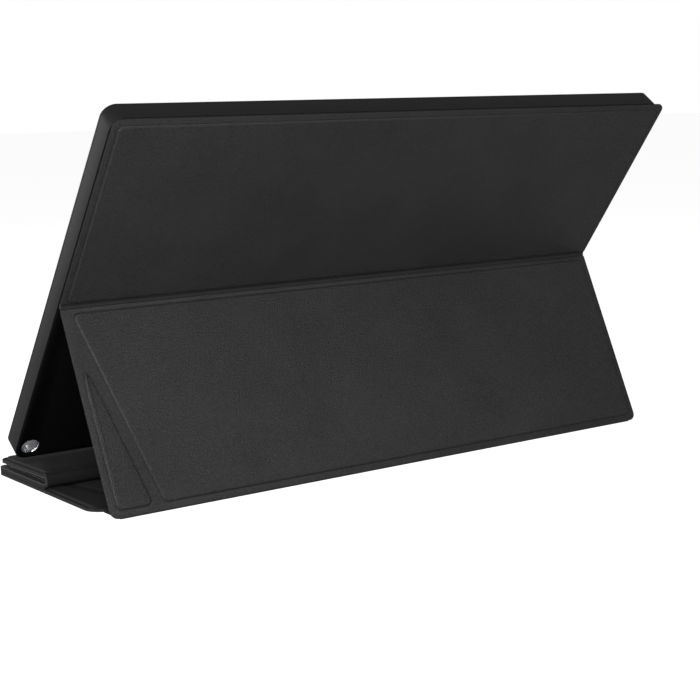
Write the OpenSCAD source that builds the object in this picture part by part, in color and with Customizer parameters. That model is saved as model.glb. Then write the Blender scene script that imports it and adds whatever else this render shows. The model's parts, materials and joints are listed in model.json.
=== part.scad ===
// Portable monitor in its folding cover, standing on a table with the cover folded as its stand.
// The screen looks towards -Y. The origin lies on the table, under the middle of the whole.
// A panel of the cover is a stiff board between an outer skin and a lining. Its own frame has +Y
// along the sheet and +Z on the lining's side, and creases of skin and lining alone join them.

/* [Monitor case] */
// Width of the monitor
mon_w = 358.4; // [330:0.1:390]
// Height of the monitor
mon_h = 226.4; // [215:0.1:240]
// Thickness of the monitor
mon_t = 11.8; // [11.2:0.1:14]
// Radius of the case's corners
mon_corner = 7; // [4:0.5:10]
// Lean of the screen from the vertical, in degrees
lean = 36.8; // [34:0.1:40]
// Wall of the rear shell
wall = 1.5; // [1.2:0.1:2]
// Thickness of the front frame
bezel_t = 1.4; // [1:0.1:1.8]
// Chamfer round the back of the rear shell
back_chamfer = 0.8; // [0.4:0.1:1.2]

/* [Screen] */
// Border from the case's side to the picture
side_border = 7.1; // [6.6:0.1:12]
// Border from the case's top edge to the picture
top_border = 8.8; // [8:0.1:14]
// Height of the picture above the case's bottom edge
screen_up = 24; // [22:0.5:26]
// Thickness of the glass cell
cell_t = 1.2; // [1:0.1:1.4]
// Glass beyond the picture at each edge
cell_edge = 3; // [2:0.5:4]
// Thickness of each optical sheet
sheet_t = 0.25; // [0.2:0.05:0.35]
// Thickness of the light guide
guide_t = 2; // [1.6:0.1:2.2]
// Sheet metal of the backlight tray
tray_t = 0.5; // [0.4:0.1:0.6]
// Air between the glass and the tray's wall
tray_gap = 0.4; // [0.3:0.1:0.6]
// Number of lamps along the light guide
led_n = 36; // [24:1:48]
// Length of one lamp
led_w = 3; // [2:0.5:3.5]

/* [Electronics] */
// Thickness of the circuit boards
pcb_t = 1; // [0.8:0.1:1.2]
// Length of the main board
main_l = 106; // [96:1:116]
// Height of the main board
main_h = 66; // [60:1:76]
// Lower edge of the main board above the case's bottom edge
main_up = 37; // [35:1:42]
// Radius of the main board's screw holes
screw_r = 0.8; // [0.6:0.1:1]
// Height of the shield can
shield_h = 1.6; // [1.2:0.1:1.8]
// Length of the shield can
can_l = 52; // [40:1:56]
// Height of the shield can's outline on the board
can_w = 34; // [24:1:36]
// Lower edge of the battery cells above the case's bottom edge
pack_up = 50; // [45:1:60]
// Thickness of the battery cells
cell_pack_t = 3.5; // [3:0.1:3.7]
// Width of one battery cell
pack_w = 74; // [60:1:80]
// Height of the battery cells
pack_h = 110; // [90:1:120]
// Length of the driver board at the glass
driver_l = 220; // [180:1:240]
// Height of the driver board at the glass
driver_h = 12; // [10:0.5:13]
// Width of the display ribbon
ribbon_w = 20; // [12:1:26]

/* [Ports and keys] */
// Width of the USB-C socket
usb_w = 8.9; // [8.8:0.1:9.2]
// Height of the USB-C socket
usb_h = 3.2; // [3.1:0.1:3.4]
// Width of the micro HDMI socket
hdmi_w = 6.4; // [6.2:0.1:6.8]
// Height of the micro HDMI socket
hdmi_h = 2.8; // [2.6:0.1:3]
// Depth of both sockets
port_l = 8; // [7:0.5:9]
// Height of the USB-C socket above the case's bottom edge
usb_up = 52; // [50:1:56]
// Height of the micro HDMI socket above the case's bottom edge
hdmi_up = 76; // [70:1:80]
// Height of the lowest key above the case's bottom edge
keys_up = 140; // [130:1:150]
// Distance from one key to the next
key_pitch = 20; // [18:1:24]
// Length of a key
key_l = 10; // [8:0.5:12]
// Thickness of a key across the case
key_h = 2.4; // [2:0.1:2.6]
// How far a key stands out of the side
key_proud = 0.5; // [0.5:0.1:0.6]
// How far a key goes in when pressed
key_travel = 0.4; // [0.2:0.1:0.4]
// Clearance round a key in its slot
key_gap = 0.15; // [0.1:0.05:0.2]

/* [Pen hole] */
// Radius of the pen hole
pen_r = 4.5; // [4:0.1:4.7]
// Wall of the metal sleeve in the pen hole
sleeve_t = 0.8; // [0.6:0.1:0.9]
// Pen hole's centre from the case's side
pen_in = 7.9; // [7.7:0.1:8.2]
// Pen hole's centre above the case's bottom edge
pen_up = 9.1; // [8.5:0.1:9.5]

/* [Cover panels] */
// How far the cover stands out past the monitor's sides
cover_over = 0.6; // [0.5:0.1:1.5]
// How far the cover stands out past the monitor's top edge
cover_top = 1.1; // [0.5:0.1:2]
// Thickness of a stiff board
board_t = 1.6; // [1.2:0.1:1.8]
// Thickness of the outer skin and of the lining over a board
skin_t = 0.5; // [0.4:0.1:0.6]
// Thickness of the soft rim, skin and lining together
rim_t = 1.2; // [1:0.1:1.4]
// Width of the slope from a stiffened field down to the rim
bevel = 1.6; // [1.2:0.1:2]
// Width of the soft rim along a panel's free edges
rim_w = 3.4; // [3:0.1:4]
// Radius of a stiffened field's corners
field_r = 3.4; // [2.6:0.1:4]
// Radius of the base's corners beside the spine
base_r = 10; // [6:0.5:12]
// Radius of the other panels' outer corners
panel_r = 4.5; // [3:0.5:6]
// Radius of a panel's corners at a crease
fold_r = 1; // [0.5:0.1:1.5]
// Thickness of the lip's board, which holds the magnets
lip_board_t = 2.2; // [1.8:0.1:2.4]
// Adhesive between the upper panel and the monitor's back
bond_t = 0.2; // [0.2:0.05:0.3]

/* [Folds of the stand] */
// How far the front fold lies in front of the screen's lower edge
front_out = 10; // [9:0.5:12]
// Depth of the base panel, from the front fold to the spine
base_d = 115; // [112:0.5:118]
// Depth of the spine, from the base panel to the foot fold
spine_d = 19.2; // [17:0.1:22]
// How much narrower the spine is than the cover, at each end
spine_in = 5.5; // [4:0.5:8]
// Depth of the flap that lies on the base
flap_d = 58; // [56:0.5:59]
// Depth of the lip that the monitor stands on
lip_d = 56; // [54:0.5:57]
// Slope of the lip towards the front, in degrees
lip_slope = 0.8; // [0.5:0.1:1.2]
// Radius of the crease between the flap and the lip
lip_fold_r = 2.3; // [2:0.1:2.6]
// How far that crease bulges out behind its axis
lip_bulge = 4.4; // [3.6:0.1:5]
// Air between two panels that lie on each other
lay_gap = 0.2; // [0.15:0.05:0.3]
// Air under the monitor's lower edge, on the lip
seat_gap = 0.3; // [0.3:0.05:0.4]
// Half the width of a crease, which is also where the rims begin
crease = 1.6; // [1.2:0.1:1.7]
// Creases stop short of the panels' side edges by so much
crease_in = 0.3; // [0.2:0.1:0.6]
// Gap between a crease and a rim
crease_gap = 0.1; // [0.1:0.05:0.2]
// Diagonal crease from the side edge, at the end away from the foot
diag_far = 5.1; // [4:0.1:7]
// Diagonal crease from the side edge, at the foot's end
diag_near = 30; // [26:0.5:34]
// Width of the diagonal crease, along the panel's edge
diag_band = 7.3; // [6:0.1:9]

/* [Magnets] */
// Number of magnet pairs that hold the monitor on the lip
magnet_n = 4; // [2:1:6]
// Distance from the outermost magnets to the case's sides
magnet_in = 50; // [40:1:70]
// Length of a magnet
magnet_l = 20; // [12:1:24]
// Width of a magnet
magnet_w = 4; // [3:0.5:5]

/* [Hidden] */
$fn = 32;
SMALL = 0.05;

// Panel stack and the two front folds
panel_t = board_t + 2 * skin_t;
lip_t = lip_board_t + 2 * skin_t;
cover_x = mon_w / 2 + cover_over;
base_z = panel_t / 2;
flap_z = panel_t + lay_gap + panel_t / 2;

// The rims of the base and of the lip lie on their skin's side, so much below the middle plane
base_drop = (panel_t - rim_t) / 2;
lip_drop = (lip_t - rim_t) / 2;
rim_z = base_z - base_drop;
front_r = (flap_z - rim_z) / 2;
front_y = -front_out;
front_z = rim_z + front_r;
lip_y = front_y + flap_d;
lip_z = flap_z + lip_fold_r;
lip_top_y = lip_y - (lip_fold_r + lip_drop) * sin(lip_slope);
lip_top_z = lip_z + (lip_fold_r + lip_drop) * cos(lip_slope);
lip_tip_y = lip_top_y - lip_d * cos(lip_slope);
lip_tip_z = lip_top_z - lip_d * sin(lip_slope);

// The monitor's lower back corner rests on the lip
corner_y = mon_t * cos(lean);
seat_z = lip_top_z + (corner_y - lip_top_y) * tan(lip_slope) + lip_t / 2 / cos(lip_slope);
mon_z = seat_z + seat_gap + mon_t * sin(lean);

// Fold on the monitor's back, at half its height, and the foot fold
fold_v = mon_h / 2;
fold_w = mon_t + bond_t + panel_t / 2;
back_y = fold_v * sin(lean) + fold_w * cos(lean);
back_z = mon_z + fold_v * cos(lean) - fold_w * sin(lean);
foot_y = front_y + base_d + spine_d;
foot_z = rim_z;
leg_l = norm([foot_y - back_y, back_z - foot_z]);
leg_lean = atan2(foot_y - back_y, back_z - foot_z);
upper_l = mon_h - fold_v + cover_top;

// Middle of the whole along Y
y_min = front_y - front_r - rim_t / 2;
y_max = back_y + upper_l * sin(lean) + rim_t / 2 * cos(lean);
y_mid = (y_min + y_max) / 2;

// Picture
screen_w = mon_w - 2 * side_border;
screen_h = mon_h - screen_up - top_border;

// Layers of the monitor, counted from its front face
cell_w = bezel_t;
prism_w = cell_w + cell_t;
diffuser_w = prism_w + sheet_t;
guide_w = diffuser_w + sheet_t;
mirror_w = guide_w + guide_t;
tray_w = mirror_w + sheet_t;
tray_back = tray_w + tray_t;
floor_w = mon_t - wall;
board_w = tray_back + 1.3;
stand_w = board_w + pcb_t;
port_w = board_w + pcb_t / 2;
side_in = mon_w / 2 - wall;
cell_x = screen_w / 2 + cell_edge;
tray_x = cell_x + tray_gap + tray_t;

// Light guide and its lamps at the bottom edge
light_x = screen_w / 2 + 1.5;
light_low = screen_up - 0.5;
led_v = 2.2;
led_d = 1.6;
led_step = (2 * light_x - led_w) / (led_n - 1);
led_low = light_low - 0.1 - led_v;
tray_low = led_low - 0.6 - tray_t;
tray_high = screen_up + screen_h + cell_edge + tray_gap + tray_t;

// Main board's place and its screws
main_x = -side_in + 2;
screw_in = 4;
boss_r = 2.2;
main_screws = [
    [main_x + screw_in + 9, main_up + screw_in],
    [main_x + main_l - screw_in, main_up + screw_in],
    [main_x + screw_in + 9, main_up + main_h - screw_in],
    [main_x + main_l - screw_in, main_up + main_h - screw_in]
];
head_r = 1.6;
head_t = 0.6;

// Shield can's place on the main board, and its sheet
can_x = main_x + (main_l - can_l) / 2;
can_v = main_h - can_w - 10;
can_t = 0.2;

// Key board and keys
key_w = tray_back + 0.3 + key_h / 2;
keybd_l = 2 * key_pitch + 16;
keybd_h = 10;
flange_t = 0.6;
flange_over = 1;
switch_d = 2.6;
switch_gap = 0.1;
plunger_d = 0.5;
key_back = -side_in + SMALL + flange_t;
switch_x = key_back + key_travel + switch_gap + plunger_d;
key_screws = [for (s = [-1, 1]) [switch_x + 8, keys_up + key_pitch + s * (keybd_l / 2 - 3)]];

// Battery: gap between the cells, their corners, and the protection board
pack_gap = 1;
pack_r = 2;
guard_t = 1.2;
guard_h = 9;

// Strips of adhesive on the case's back
pad_l = mon_w / 6;
pad_h = 12;
pad_step = mon_w * 0.36;
pad_heights = [fold_v + pad_h, fold_v + mon_h / 4, mon_h - pad_h - 4];

// Gap between a board and the skins round its edge
board_gap = 0.1;

// Magnet places along the lower edge
magnet_step = (mon_w - 2 * magnet_in) / (magnet_n - 1);
magnet_t = 1.4;

function unit(v) = v / norm(v);
function left_of(v) = [-v[1], v[0]];

// Corners of a convex outline, listed anticlockwise, moved inwards by d
function inset(p, d) =
    let (n = len(p))
    [for (i = [0 : n - 1])
        let (a = left_of(unit(p[i] - p[(i + n - 1) % n])), b = left_of(unit(p[(i + 1) % n] - p[i])))
        p[i] + d * (a + b) / (1 + a * b)];

function box_outline(x0, y0, x1, y1) = [[x0, y0], [x1, y0], [x1, y1], [x0, y1]];

// Convex outline with corners of radius r, drawn d inside its own edge
module rounded(p, r, d = 0) {
    n = len(p);
    c = inset(p, r);
    polygon([for (i = [0 : n - 1])
        each [
            c[i] - (r - d) * left_of(unit(p[i] - p[(i + n - 1) % n])),
            c[i] - (r - d) * left_of(unit(p[(i + 1) % n] - p[i]))
        ]]);
    for (q = c) translate(q) circle(r - d);
}

// Places a part that is drawn in the monitor's own frame: X, depth from the screen, height
module in_monitor() {
    translate([0, -y_mid, mon_z]) rotate([-lean, 0, 0]) children();
}

// Plate across the monitor, from depth w on, t thick, in the outline of its children
module plate(w, t) {
    translate([0, w + t, 0]) rotate([90, 0, 0]) linear_extrude(t) children();
}

// Places a part of the cover that is drawn in its panel's frame
module on_panel(y, z, turn) {
    translate([0, y - y_mid, z]) rotate([turn, 0, 0]) children();
}
module on_upper() { on_panel(back_y, back_z, 90 - lean) children(); }
module on_leg() { on_panel(foot_y, foot_z, 90 + leg_lean) children(); }
module on_base() { on_panel(front_y, base_z, 0) children(); }
module on_flap() { on_panel(lip_y, flap_z, 180) children(); }
module on_lip() { on_panel(lip_tip_y, lip_tip_z, lip_slope) children(); }

// Extrudes a side view, drawn in Y and Z, to the length l along X, about the middle
module across(l) {
    rotate([90, 0, 90]) linear_extrude(l, center = true) children();
}

// Sheet from y0 to y1, with corners of radius r0 at y0 and of radius r1 at y1
module sheet(x, y0, y1, r0, r1) {
    polygon([
        [-x + r0, y0], [x - r0, y0], [x, y0 + r0], [x, y1 - r1],
        [x - r1, y1], [-x + r1, y1], [-x, y1 - r1], [-x, y0 + r0]
    ]);
    for (s = [-1, 1]) {
        translate([s * (x - r0), y0 + r0]) circle(r0);
        translate([s * (x - r1), y1 - r1]) circle(r1);
    }
}

// Half of a panel: a flat rim in the outline of the children, raised over each board's field.
// The board is b thick, and the rim's middle plane lies at height m above the board's.
module half_panel(fields, b, m) {
    top = b / 2 + skin_t;
    pocket = 2 * lip_board_t;
    difference() {
        union() {
            translate([0, 0, m]) linear_extrude(rim_t / 2) children();
            for (f = fields) {
                hull() {
                    translate([0, 0, m]) linear_extrude(SMALL) rounded(f, field_r);
                    translate([0, 0, top - SMALL]) linear_extrude(SMALL) rounded(f, field_r, bevel);
                }
            }
        }
        for (f = fields) {
            translate([0, 0, b / 2 - pocket])
                linear_extrude(pocket) rounded(f, field_r, bevel + board_gap);
        }
    }
}

// Stiff board under one field
module board(field, b = board_t) {
    linear_extrude(b, center = true) rounded(field, field_r, bevel + 2 * board_gap);
}

// Outer skin and lining of a panel whose rim lies d below the middle plane
module skin(fields, b = board_t, d = 0) {
    color([0.13, 0.13, 0.135]) mirror([0, 0, 1]) half_panel(fields, b, d) children();
}

module lining(fields, b = board_t, d = 0) {
    color([0.1, 0.1, 0.105]) half_panel(fields, b, -d) children();
}

module board_colour() { color([0.42, 0.4, 0.37]) children(); }

// Crease that turns from one panel's plane to the next about its axis, with arms along both
module bent_crease(turn_in, turn_out, l) {
    color([0.12, 0.12, 0.125]) across(l) {
        circle(rim_t / 2);
        for (a = [turn_in, turn_out]) {
            rotate(a) translate([0, -rim_t / 2]) square([crease, rim_t]);
        }
    }
}

// Monitor: case

module rear_shell() {
    in_monitor() color([0.2, 0.2, 0.205]) {
        difference() {
            hull() {
                plate(bezel_t, mon_t - bezel_t - back_chamfer)
                    rounded(box_outline(-mon_w / 2, 0, mon_w / 2, mon_h), mon_corner);
                plate(mon_t - SMALL, SMALL)
                    rounded(box_outline(-mon_w / 2, 0, mon_w / 2, mon_h), mon_corner, back_chamfer);
            }
            plate(bezel_t - 1, floor_w - bezel_t + 1)
                rounded(box_outline(-mon_w / 2, 0, mon_w / 2, mon_h), mon_corner, wall);
            plate(0, mon_t + 1) pen_place() circle(pen_r + sleeve_t + SMALL, $fn = 64);
            for (i = [0 : 2]) {
                key_place(i) cube([4 * wall, key_h + 2 * key_gap, key_l + 2 * key_gap], center = true);
            }
            port_place(usb_up) port_shape(usb_w + 0.3, usb_h + 0.3, 2 * wall);
            port_place(hdmi_up) port_shape(hdmi_w + 0.3, hdmi_h + 0.3, 2 * wall);
        }
        pen_boss();
        bosses(main_screws);
        bosses(key_screws);
    }
}

module pen_place() { translate([mon_w / 2 - pen_in, pen_up]) children(); }

// Ring of the shell that carries the pen sleeve
module pen_boss() {
    difference() {
        plate(bezel_t + 2, floor_w - bezel_t - 2 + SMALL)
            pen_place() circle(pen_r + sleeve_t + 0.9, $fn = 64);
        plate(bezel_t, mon_t) pen_place() circle(pen_r + sleeve_t + SMALL, $fn = 64);
    }
}

module key_place(i) {
    translate([-mon_w / 2, key_w, keys_up + i * key_pitch]) children();
}

// Round-ended socket outline at the case's side, going d inwards from the side face
module port_shape(w, h, d) {
    translate([-SMALL, 0, 0]) rotate([90, 0, 90]) linear_extrude(d) {
        square([h, w - h], center = true);
        for (s = [-1, 1]) translate([0, s * (w - h) / 2]) circle(h / 2);
    }
}

module port_place(up) { translate([-mon_w / 2, port_w, up]) children(); }

module bosses(places) {
    difference() {
        for (p = places) plate(stand_w, floor_w - stand_w + SMALL) translate(p) circle(boss_r);
        for (p = places) plate(stand_w - 1, 2.2) translate(p) circle(screw_r);
    }
}

module front_bezel() {
    in_monitor() color([0.09, 0.09, 0.095]) {
        difference() {
            plate(0, bezel_t) rounded(box_outline(-mon_w / 2, 0, mon_w / 2, mon_h), mon_corner);
            plate(-1, bezel_t + 2)
                translate([-screen_w / 2, screen_up]) square([screen_w, screen_h]);
            plate(-1, bezel_t + 2) pen_place() circle(pen_r + sleeve_t + SMALL, $fn = 64);
        }
        // Snap rim inside the shell's wall
        difference() {
            plate(bezel_t, 1.6)
                rounded(box_outline(-mon_w / 2, 0, mon_w / 2, mon_h), mon_corner, wall + 0.1);
            plate(bezel_t - 1, 4)
                rounded(box_outline(-mon_w / 2, 0, mon_w / 2, mon_h), mon_corner, wall + 0.9);
        }
    }
}

module pen_sleeve() {
    in_monitor() color([0.75, 0.76, 0.78]) difference() {
        plate(0, mon_t) pen_place() circle(pen_r + sleeve_t, $fn = 64);
        plate(-1, mon_t + 2) pen_place() circle(pen_r, $fn = 64);
    }
}

// Monitor: screen and backlight, front to back

module stack_plate(w, t, x, low, high) {
    in_monitor() plate(w, t) translate([-x, low]) square([2 * x, high - low]);
}

module lcd_cell() {
    color([0.05, 0.06, 0.08])
        stack_plate(cell_w, cell_t, cell_x, screen_up - cell_edge, screen_up + screen_h + cell_edge);
}

module prism_sheet() {
    color([0.85, 0.87, 0.9])
        stack_plate(prism_w, sheet_t, light_x, light_low, screen_up + screen_h + 1.5);
}

module diffuser_sheet() {
    color([0.95, 0.95, 0.93])
        stack_plate(diffuser_w, sheet_t, light_x, light_low, screen_up + screen_h + 1.5);
}

module light_guide() {
    color([0.8, 0.9, 0.95])
        stack_plate(guide_w, guide_t, light_x, light_low, screen_up + screen_h + 1.5);
}

module reflector_sheet() {
    color([0.97, 0.97, 0.97])
        stack_plate(mirror_w, sheet_t, light_x, light_low, screen_up + screen_h + 1.5);
}

module led_bar() {
    in_monitor() color([0.95, 0.9, 0.6]) {
        plate(mirror_w, sheet_t) translate([-light_x, led_low])
            square([2 * light_x, led_v + 0.05]);
        for (i = [0 : led_n - 1]) {
            plate(mirror_w - led_d, led_d + SMALL)
                translate([-light_x + i * led_step, led_low]) square([led_w, led_v]);
        }
    }
}

module backlight_tray() {
    in_monitor() color([0.72, 0.73, 0.75]) difference() {
        plate(cell_w, tray_back - cell_w)
            translate([-tray_x, tray_low]) square([2 * tray_x, tray_high - tray_low]);
        plate(cell_w - 1, tray_w - cell_w + 1) translate([-tray_x + tray_t, tray_low + tray_t])
            square([2 * (tray_x - tray_t), tray_high - tray_low - 2 * tray_t]);
    }
}

// Monitor: electronics

module driver_board() {
    in_monitor() color([0.1, 0.35, 0.2]) {
        plate(tray_back, pcb_t - 0.2)
            translate([-driver_l / 2, tray_low + 1]) square([driver_l, driver_h]);
        // Socket for the display ribbon, and two driver chips
        plate(tray_back + pcb_t - 0.2 - SMALL, 0.9 + SMALL)
            translate([ribbon_x() - ribbon_w / 2, tray_low + 3]) square([ribbon_w, 5]);
        for (x = [10, 60]) {
            plate(tray_back + pcb_t - 0.2 - SMALL, 0.9 + SMALL)
                translate([x, tray_low + 3]) square([14, 7]);
        }
    }
}

function ribbon_x() = main_x + main_l - 28;

// Flat cable from the driver board up to the back of the main board
module display_ribbon() {
    w0 = tray_back + pcb_t - 0.2 + 0.9;
    w1 = stand_w + 0.9;
    v0 = tray_low + 3;
    v1 = main_up + 10;
    in_monitor() color([0.85, 0.8, 0.6]) translate([ribbon_x(), 0, 0]) across(ribbon_w - 2)
        polygon([
            [w0, v0], [w0 + 0.15, v0], [w0 + 0.15, v0 + 5.9], [w1 + 0.15, v1 - 5.1],
            [w1 + 0.15, v1], [w1, v1], [w1, v1 - 5], [w0, v0 + 6]
        ]);
}

module main_board() {
    in_monitor() color([0.08, 0.3, 0.18]) {
        difference() {
            plate(board_w, pcb_t) translate([main_x, main_up]) square([main_l, main_h]);
            for (p = main_screws) plate(board_w - 1, pcb_t + 2) translate(p) circle(screw_r + 0.1);
            // Notches for the two sockets
            for (s = [[usb_up, usb_w], [hdmi_up, hdmi_w]]) {
                plate(board_w - 1, pcb_t + 2)
                    translate([main_x - 1, s[0] - s[1] / 2 - 0.1])
                        square([port_l + 1.2 - 2, s[1] + 0.2]);
            }
        }
        // Socket for the display ribbon
        plate(stand_w - SMALL, 0.9 + SMALL)
            translate([ribbon_x() - ribbon_w / 2, main_up + 5]) square([ribbon_w, 5]);
        // Chips on the screen's side
        for (c = [[30, 30, 12], [52, 20, 9], [70, 44, 10]]) {
            plate(board_w - 1, 1 + SMALL)
                translate([main_x + c[0], main_up + c[1]]) square([c[2], c[2]]);
        }
    }
}

module board_shield() {
    in_monitor() color([0.8, 0.81, 0.82]) difference() {
        plate(stand_w, shield_h)
            translate([can_x, main_up + can_v]) square([can_l, can_w]);
        plate(stand_w - 1, shield_h + 1 - can_t)
            translate([can_x + can_t, main_up + can_v + can_t])
                square([can_l - 2 * can_t, can_w - 2 * can_t]);
    }
}

// Screws of the main board and the key board, heads on the screen's side
module board_screws() {
    in_monitor() color([0.6, 0.61, 0.63]) for (p = concat(main_screws, key_screws)) {
        plate(board_w - head_t, head_t) translate(p) circle(head_r);
        plate(board_w - SMALL, pcb_t + 1) translate(p) circle(screw_r - SMALL);
    }
}

module socket(w, h) {
    difference() {
        port_shape(w, h, port_l);
        translate([-1, 0, 0]) port_shape(w - 0.6, h - 0.6, port_l);
    }
}

module usb_c_socket() {
    in_monitor() color([0.7, 0.71, 0.73]) port_place(usb_up) translate([0.3, 0, 0]) {
        socket(usb_w, usb_h);
        // Tongue with the contacts
        translate([2, -0.35, -usb_w / 2 + 1.2]) cube([port_l - 2.5, 0.7, usb_w - 2.4]);
    }
}

module micro_hdmi_socket() {
    in_monitor() color([0.7, 0.71, 0.73]) port_place(hdmi_up) translate([0.3, 0, 0]) {
        socket(hdmi_w, hdmi_h);
        translate([2, -0.3, -hdmi_w / 2 + 1.2]) cube([port_l - 2.5, 0.6, hdmi_w - 2.4]);
    }
}

// Two flat cells side by side, with their protection board along the top
module battery_pack() {
    in_monitor() color([0.25, 0.26, 0.3]) {
        for (i = [0, 1]) {
            plate(floor_w - cell_pack_t, cell_pack_t)
                translate([i * (pack_w + pack_gap), pack_up])
                    rounded(box_outline(0, 0, pack_w, pack_h), pack_r);
        }
        plate(floor_w - guard_t, guard_t)
            translate([0, pack_up + pack_h - 1]) square([2 * pack_w + pack_gap, guard_h]);
    }
}

module key_board() {
    in_monitor() color([0.08, 0.3, 0.18]) difference() {
        plate(board_w, pcb_t) translate([switch_x + 0.5, keys_up + key_pitch - keybd_l / 2])
            square([keybd_h, keybd_l]);
        for (p = key_screws) plate(board_w - 1, pcb_t + 2) translate(p) circle(screw_r + 0.1);
    }
}

// Side-push switches on the key board
module key_switches() {
    in_monitor() color([0.75, 0.75, 0.72]) for (i = [0 : 2]) {
        v = keys_up + i * key_pitch;
        plate(board_w - 1.2, 1.2) translate([switch_x, v - 2.2]) square([switch_d, 4.4]);
        plate(board_w - 1, 0.8)
            translate([switch_x - plunger_d, v - 0.8]) square([plunger_d + SMALL, 1.6]);
    }
}

// Key in the slot in the case's side, kept in by its flange
module key(i) {
    in_monitor() color([0.16, 0.16, 0.165]) key_place(i) {
        translate([-key_proud, -key_h / 2, -key_l / 2])
            cube([key_proud + wall + SMALL + flange_t, key_h, key_l]);
        translate([wall + SMALL, -key_h / 2, -key_l / 2 - flange_over])
            cube([flange_t, key_h, key_l + 2 * flange_over]);
    }
}
module power_key() { key(2); }
module menu_key() { key(1); }
module select_key() { key(0); }

// Magnets in the lower edge of the case, over those in the lip
module case_magnets() {
    in_monitor() color([0.6, 0.6, 0.62]) magnet_places()
        translate([-magnet_l / 2, floor_w - 3, wall]) cube([magnet_l, 3, magnet_w]);
}

module magnet_places() {
    for (i = [0 : magnet_n - 1]) {
        translate([(i - (magnet_n - 1) / 2) * magnet_step, 0, 0]) children();
    }
}

// Cover: upper panel, bonded to the monitor's back

upper_field = box_outline(-cover_x + rim_w - 0.3, crease + 0.2, cover_x - rim_w + 0.3, upper_l - rim_w);

module bond_pads() {
    in_monitor() color([0.9, 0.88, 0.75]) for (v = pad_heights) {
        for (i = [-1, 0, 1]) {
            plate(mon_t, bond_t)
                translate([i * pad_step - pad_l / 2, v - pad_h / 2]) square([pad_l, pad_h]);
        }
    }
}

module upper_rim() { sheet(cover_x, crease + crease_gap, upper_l, fold_r, panel_r); }
module upper_skin() { on_upper() skin([upper_field]) upper_rim(); }
module upper_board() { board_colour() on_upper() board(upper_field); }
module upper_lining() { on_upper() lining([upper_field]) upper_rim(); }

module back_fold() {
    on_panel(back_y, back_z, 0) bent_crease(90 - lean, leg_lean - 90, 2 * (cover_x - crease_in));
}

// Cover: leg, with its diagonal crease near one end

leg_high = leg_l - crease - 2.4;
leg_low = rim_w + 0.3;
leg_field = [
    [-cover_x + rim_w, leg_low], [cover_x - diag_near, leg_low],
    [cover_x - diag_far, leg_high], [-cover_x + rim_w, leg_high]
];
// Slope of the diagonal crease, and where its band meets the rim of the side edge
leg_run = (diag_near - diag_far) / (leg_high - leg_low);
leg_apex = leg_low + (diag_near - diag_band - rim_w + 0.7) / leg_run;
leg_corner = [
    [cover_x - diag_near + diag_band, leg_low], [cover_x - rim_w - 0.4, leg_low],
    [cover_x - rim_w + 0.7, leg_apex]
];

module leg_rim() {
    sheet(cover_x, crease + crease_gap, leg_l - crease - crease_gap, panel_r, fold_r);
}
module leg_skin() { on_leg() skin([leg_field, leg_corner]) leg_rim(); }
module leg_board() { board_colour() on_leg() board(leg_field); }
module leg_corner_board() { board_colour() on_leg() board(leg_corner); }
module leg_lining() { on_leg() lining([leg_field, leg_corner]) leg_rim(); }

module foot_fold() {
    on_panel(foot_y, foot_z, 0) bent_crease(90 + leg_lean, 180, 2 * (spine_x - crease_in));
}

// Cover: base panel and spine, which lie on the table

base_low = crease + 2.4;
base_high = base_d - rim_w;
base_field = [
    [-cover_x + rim_w, base_low], [cover_x - diag_far, base_low],
    [cover_x - diag_near, base_high], [-cover_x + rim_w, base_high]
];
base_run = (diag_near - diag_far) / (base_high - base_low);
base_apex = base_high - (diag_near - diag_band - rim_w + 0.7) / base_run;
base_corner = [
    [cover_x - rim_w + 0.7, base_apex], [cover_x - rim_w + 0.7, base_high],
    [cover_x - diag_near + diag_band, base_high]
];
spine_x = cover_x - spine_in;
spine_field = box_outline(
    -spine_x + rim_w, base_d + 2, spine_x - rim_w, base_d + spine_d - crease - 2);

module base_rim() {
    sheet(cover_x, crease_gap, base_d, fold_r, base_r);
    sheet(spine_x, base_d / 2, base_d + spine_d - crease - crease_gap, fold_r, fold_r);
}
base_fields = [base_field, base_corner, spine_field];

module base_skin() { on_base() skin(base_fields, board_t, base_drop) base_rim(); }
module base_board() { board_colour() on_base() board(base_field); }
module base_corner_board() { board_colour() on_base() board(base_corner); }
module spine_board() { board_colour() on_base() board(spine_field); }
module base_lining() { on_base() lining(base_fields, board_t, base_drop) base_rim(); }

// Half a turn, from the base's rim up to the flap's
module front_fold() {
    color([0.12, 0.12, 0.125]) on_panel(front_y, front_z, 0) across(2 * (cover_x - crease_in))
        difference() {
            circle(front_r + rim_t / 2);
            circle(front_r - rim_t / 2);
            translate([0, -2 * front_r]) square(4 * front_r);
        }
}

// Cover: flap folded back over the base

flap_field = box_outline(-cover_x + rim_w, 4, cover_x - rim_w, flap_d - 4);

module flap_rim() { sheet(cover_x, crease_gap, flap_d - crease_gap, fold_r, fold_r); }
module flap_skin() { on_flap() skin([flap_field]) flap_rim(); }
module flap_board() { board_colour() on_flap() board(flap_field); }
module flap_lining() { on_flap() lining([flap_field]) flap_rim(); }

// Loop round a narrow slot, bulging out behind as far down as the flap's skin
module lip_fold() {
    slot_r = lip_fold_r - rim_t / 2;
    low = -lip_fold_r - rim_t / 2;
    high = lip_fold_r - rim_t / 2 + lip_t - 0.4;
    color([0.12, 0.12, 0.125]) on_panel(lip_y, lip_z, 0) across(2 * (cover_x - crease_in))
        difference() {
            rounded(box_outline(-lip_bulge, low, lip_bulge, high), 2.8);
            circle(slot_r);
            rotate(lip_slope) translate([-3 * lip_bulge, -slot_r]) square([3 * lip_bulge, 9 * slot_r]);
            translate([-3 * lip_bulge, -9 * slot_r]) square([3 * lip_bulge, 10 * slot_r]);
        }
}

// Cover: lip folded forward again, which the monitor stands on

lip_field = box_outline(-cover_x + rim_w, rim_w, cover_x - rim_w, lip_d - 1);

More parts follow.
